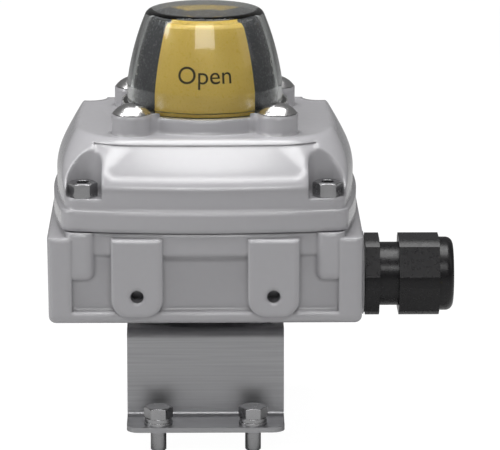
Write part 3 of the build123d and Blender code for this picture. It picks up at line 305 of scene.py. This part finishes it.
black_polyamide = moulded(
    "black_polyamide", "#0F0E10", "#131214", 0.30, 1.1, 0.003, 1.53, Specular_IOR_Level=0.3
)
nitrile_rubber = moulded("nitrile_rubber", "#131313", "#1C1C1C", 0.62, 0.7, 0.03, 1.52)
drum_grey = moulded("drum_grey_abs", "#4C4C4F", "#555558", 0.24, 0.8, 0.008, 1.54)
panel_yellow = moulded("panel_ochre_abs", "#F3CC5E", "#F8D368", 0.30, 0.8, 0.008, 1.54)
cream_silicone = moulded("cream_silicone", "#D9D2BC", "#E3DDC9", 0.45, 0.7, 0.02, 1.43)
letter_brown = moulded("letter_brown_ink", "#3A2E12", "#463818", 0.45, 0.6, 0.004)
letter_white = moulded("letter_white_ink", "#DAD9D3", "#E6E5E0", 0.45, 0.6, 0.004)
cam_red = moulded("red_acetal", "#A8231C", "#B92E25", 0.34, 0.6, 0.01, 1.48)
cam_green = moulded("green_acetal", "#1F7A3A", "#2A8A46", 0.34, 0.6, 0.01, 1.48)
switch_black = moulded("black_phenolic", "#19191A", "#232325", 0.42, 0.6, 0.015, 1.6)
terminal_green = moulded("terminal_green_polyamide", "#2F8F5B", "#3A9D68", 0.36, 0.6, 0.012, 1.53)
fish_paper = moulded("fish_paper", "#C9BE94", "#D6CCA5", 0.7, 0.4, 0.02)
print("finishes so far:", len(bpy.data.materials))

# %% [markdown]
# ## Clear window
#
# The window is injection-moulded polycarbonate: index 1.585, nearly colourless, smooth on both
# sides. Its surface reflections are turned down, so that the indicator stays easy to read, and a
# faint haze in its roughness, a few millimetres wide, softens what is left of them.

# %% Clear polycarbonate
clear_lens = uneven_finish(
    "clear_polycarbonate",
    ("#F6F8F7",),
    (0.015, 0.05),
    grain_mm=6.0,
    detail=3.0,
    IOR=1.585,
    Transmission_Weight=1.0,
    Specular_Tint=(0.25, 0.25, 0.25, 1.0),
)
print("finish:", clear_lens.name)

# %% [markdown]
# ## Circuit board
#
# Glass-fibre board under green solder mask. Copper tracks show through as paler, slightly raised
# lines. Real tracks follow a layout, which could be drawn as a picture; rows of brick cells about
# 3 mm high stand for it, because the board is seen only past the switches.


# %% Solder mask over copper
def solder_mask():
    """Green mask with the tracks as the joints of a brick pattern."""
    finish, tree, shader = start_finish("solder_mask_green", "#1E6A3A", 0.3, IOR=1.55)
    brick_mm = 6
    mapped = add_node(
        tree,
        "ShaderNodeMapping",
        {"Vector": add_node(tree, "ShaderNodeTexCoord").outputs["Object"]},
        {"Scale": (1 / (brick_mm * MM),) * 3},
    )
    tracks = add_node(
        tree,
        "ShaderNodeTexBrick",
        {"Vector": mapped.outputs["Vector"]},
        {
            "Scale": 1.0,
            "Mortar Size": 0.045,
            "Mortar Smooth": 0.1,
            "Brick Width": 1.6,
            "Row Height": 0.55,
            "Color1": paint("#1B6337"),
            "Color2": paint("#206E3E"),
            "Mortar": paint("#3C9459"),
        },
    )
    tree.links.new(tracks.outputs["Color"], shader.inputs["Base Color"])
    copper_height = 0.03 * MM
    bump = add_node(
        tree,
        "ShaderNodeBump",
        {"Height": tracks.outputs["Fac"]},
        {"Distance": copper_height, "Strength": 0.6},
    )
    tree.links.new(bump.outputs["Normal"], shader.inputs["Normal"])
    return finish


board_green = solder_mask()
print("finish:", board_green.name)

# %% [markdown]
# ## Dress the solids
#
# Each solid keeps its shape and takes its finish in its own material slot. One table says which
# piece is made of what, the way a parts list does, so that no piece is dressed twice or left out.

# %% Finish of each solid
finish_of = {
    "mounting_bracket": stainless_sheet,
    "foot_bolts": stainless_fastener,
    "foot_spring_washers": stainless_fastener,
    "foot_plain_washers": stainless_fastener,
    "bracket_screws": stainless_fastener,
    "bracket_spring_washers": stainless_fastener,
    "base_housing": grey_coat,
    "shaft_bush": bronze,
    "lid_gasket": nitrile_rubber,
    "circuit_board": board_green,
    "board_screws": stainless_fastener,
    "lower_switch": switch_black,
    "upper_switch": switch_black,
    "switch_insulator": fish_paper,
    "switch_screws": stainless_fastener,
    "lower_switch_lever": spring_steel,
    "upper_switch_lever": spring_steel,
    "terminal_block": terminal_green,
    "terminal_screws": stainless_fastener,
    "earth_screw": brass,
    "earth_washer": brass,
    "gland_washer": nitrile_rubber,
    "gland_body": black_polyamide,
    "gland_nut": black_polyamide,
    "gland_seal": nitrile_rubber,
    "drive_shaft": stainless_fastener,
    "shaft_o_rings": nitrile_rubber,
    "shaft_circlip": spring_steel,
    "lower_cam": cam_red,
    "upper_cam": cam_green,
    "cam_spring": spring_steel,
    "cam_top_ring": stainless_fastener,
    "lid": grey_coat,
    "lid_bolts": stainless_fastener,
    "lens": clear_lens,
    "lens_gasket": cream_silicone,
    "lens_screws": chrome_screw,
    "indicator_drum": drum_grey,
    "open_panels": panel_yellow,
    "indicator_clip": spring_steel,
}
for name, finish in finish_of.items():
    mesh = nodes[name].data
    mesh.materials.clear()
    mesh.materials.append(finish)
print("dressed:", len(finish_of), "left bare:", sorted(set(nodes) - set(finish_of)))

# %% [markdown]
# ## Words on the indicator
#
# The coloured panels say that the valve is open and the grey sides, a quarter turn on, that it is
# shut. The words are printed on the drum. A picture could be mapped onto it, but real lettering
# stays sharp at any distance, so each word starts as flat text. Cuts every half millimetre let it
# bend, and each of its points is then dropped along a line to the shaft's axis until it meets the
# drum, where it stays a few hundredths of a millimetre proud, as ink does.


# %% Words
def bent_word(name, word, facing, surface, cap_height, baseline, finish):
    """A word printed on a surface round the shaft, read from the direction facing, in degrees."""
    lettering = bpy.data.curves.new(name, "FONT")
    lettering.body = word
    lettering.align_x = "CENTER"
    flat = bpy.data.objects.new(name, lettering)
    word_mesh = bmesh.new()
    word_mesh.from_mesh(flat.to_mesh())
    flat.to_mesh_clear()
    bpy.data.objects.remove(flat)
    top = max(vertex.co.y for vertex in word_mesh.verts)
    bmesh.ops.scale(word_mesh, vec=(cap_height / top,) * 3, verts=word_mesh.verts)
    half = max(vertex.co.x for vertex in word_mesh.verts)
    cut_pitch = 0.5 * MM
    for cut in range(1 + int(half / cut_pitch)):
        for side in (-1, 1):
            bmesh.ops.bisect_plane(
                word_mesh,
                geom=word_mesh.verts[:] + word_mesh.edges[:] + word_mesh.faces[:],
                plane_co=(side * cut * cut_pitch, 0, 0),
                plane_no=(1, 0, 0),
            )
    wrapped = BVHTree.FromObject(nodes[surface], bpy.context.evaluated_depsgraph_get())
    start_radius = 30 * MM
    word_radius = 22 * MM
    ink_height = 0.04 * MM
    for vertex in word_mesh.verts:
        turn = math.radians(facing) + vertex.co.x / word_radius
        outward = Vector((math.cos(turn), math.sin(turn), 0))
        start = start_radius * outward + Vector((0, 0, baseline + vertex.co.y))
        place, normal, _, _ = wrapped.ray_cast(start, -outward)
        vertex.co = place + ink_height * normal
    printed = bpy.data.meshes.new(name)
    word_mesh.to_mesh(printed)
    word_mesh.free()
    printed.materials.append(finish)
    piece = bpy.data.objects.new(name, printed)
    bpy.context.scene.collection.objects.link(piece)
    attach(piece, "indicator")
    return piece


cap_height = 5.3 * MM
baseline = 107.7 * MM
for side, facing in (("front", -90), ("back", 90)):
    word = bent_word(
        f"open_word_{side}", "Open", facing, "open_panels", cap_height, baseline, letter_brown
    )
for side, facing in (("right", 0), ("left", 180)):
    word = bent_word(
        f"shut_word_{side}", "Shut", facing, "indicator_drum", cap_height, baseline, letter_white
    )

# %% [markdown]
# ## Floor
#
# The box stands on the tips of its bolts on a wide pale floor, as on a studio table. More light
# would whiten the floor but wash out the box too, so the floor glows, and only for rays that come
# straight from the camera. The rest of it is plain paint, which keeps a soft shadow.

# %% Floor
floor_width = 6.0
floor_z = cad_low[2] - 0.2 * MM
bpy.ops.mesh.primitive_plane_add(size=floor_width, location=(0, 0, floor_z))
studio_floor = bpy.context.object
studio_floor.name = "studio_floor"


def pale_floor():
    """Matt grey paint under a white glow that only the camera sees."""
    finish, tree, shader = start_finish("pale_floor", "#BDBDBD", 0.8)
    glow_share, glow_strength = 0.85, 1.15
    glow = add_node(
        tree, "ShaderNodeEmission", inputs={"Color": (1, 1, 1, 1), "Strength": glow_strength}
    )
    ray = add_node(tree, "ShaderNodeLightPath")
    seen = add_node(
        tree,
        "ShaderNodeMath",
        {0: ray.outputs["Is Camera Ray"]},
        {1: glow_share},
        operation="MULTIPLY",
    )
    mixed = add_node(
        tree,
        "ShaderNodeMixShader",
        {0: seen.outputs[0], 1: shader.outputs[0], 2: glow.outputs[0]},
    )
    tree.links.new(mixed.outputs[0], tree.nodes["Material Output"].inputs["Surface"])
    return finish


studio_floor.data.materials.append(pale_floor())
print("floor at", round(floor_z / MM, 2), "mm")

# %% [markdown]
# ## World light
#
# A studio's pale walls send a little light back from everywhere, which fills the shadows. The
# world stands for them: weak for the light it gives, and white where the camera looks past the
# floor.

# %% World light
world = bpy.data.worlds.new("studio_world")
bpy.context.scene.world = world
world.use_nodes = True
sky = world.node_tree
backdrop = sky.nodes["Background"]
backdrop.inputs["Color"].default_value = (1, 1, 1, 1)
fill_strength, seen_strength = 0.18, 1.0
ray = add_node(sky, "ShaderNodeLightPath")
strength = add_node(
    sky,
    "ShaderNodeMapRange",
    {"Value": ray.outputs["Is Camera Ray"]},
    {"From Min": 0, "From Max": 1, "To Min": fill_strength, "To Max": seen_strength},
)
sky.links.new(strength.outputs["Result"], backdrop.inputs["Strength"])
print("world light:", fill_strength)

# %% [markdown]
# ## Lamps
#
# Gloss is read from the shapes that the lamps draw on it, so the lamps are softboxes, with broad
# even faces. A large one hangs above. A strip in front draws the highlight along the lid's slope,
# a narrow one on the left models the sides, and a weak one on the right fills the shadow.


# %% Lamps
def softbox(name, place, aim, width, height, watts):
    """A rectangular lamp at place that faces aim."""
    lamp = bpy.data.lights.new(name, "AREA")
    lamp.shape = "RECTANGLE"
    lamp.size = width
    lamp.size_y = height
    lamp.energy = watts
    stand = bpy.data.objects.new(name, lamp)
    bpy.context.scene.collection.objects.link(stand)
    stand.location = place
    stand.rotation_euler = (Vector(aim) - Vector(place)).to_track_quat("-Z", "Y").to_euler()
    return stand


def hang(name, azimuth, elevation, distance, width, height, watts):
    """A softbox at an angle from the front, positive to the right, that faces the box."""
    turn, rise = math.radians(azimuth), math.radians(elevation)
    reach = distance * math.cos(rise)
    middle = 0.06
    place = (reach * math.sin(turn), -reach * math.cos(turn), middle + distance * math.sin(rise))
    return softbox(name, place, (0, 0, middle), width, height, watts)


hang("top_softbox", 0, 88, 0.75, 0.7, 0.5, 7.0)
hang("front_strip", 0, 32, 0.9, 0.5, 0.16, 2.0)
hang("left_softbox", -77, 40, 0.85, 0.16, 0.5, 2.6)
hang("right_softbox", 75, 30, 0.85, 0.3, 0.5, 0.4)
print("lamps:", [lamp.name for lamp in bpy.data.lights])

# %% [markdown]
# ## Camera
#
# A long lens from just over a metre away, looking slightly down at the front, keeps the upright
# edges nearly parallel, as product pictures do. It aims a little to the right of the shaft, to
# take in the gland.

# %% Camera
lens_mm = 266.5
sensor_mm = 36.0
distance = 1.2
height_angle = math.radians(12.7)
look_at = Vector((0.0, 0.0, 0.062))
camera_data = bpy.data.cameras.new("studio_camera")
camera_data.lens = lens_mm
camera_data.sensor_width = sensor_mm
camera_data.clip_end = 20.0
camera = bpy.data.objects.new("studio_camera", camera_data)
bpy.context.scene.collection.objects.link(camera)
back = Vector((0.0, -math.cos(height_angle), math.sin(height_angle)))
camera.location = look_at + distance * back
aim = look_at + Vector((0.01452, -0.00107, -0.00474))
camera.rotation_euler = (aim - camera.location).to_track_quat("-Z", "Y").to_euler()
bpy.context.scene.camera = camera
bpy.context.scene.view_settings.view_transform = "Standard"
print("camera at", [round(part, 3) for part in camera.location])
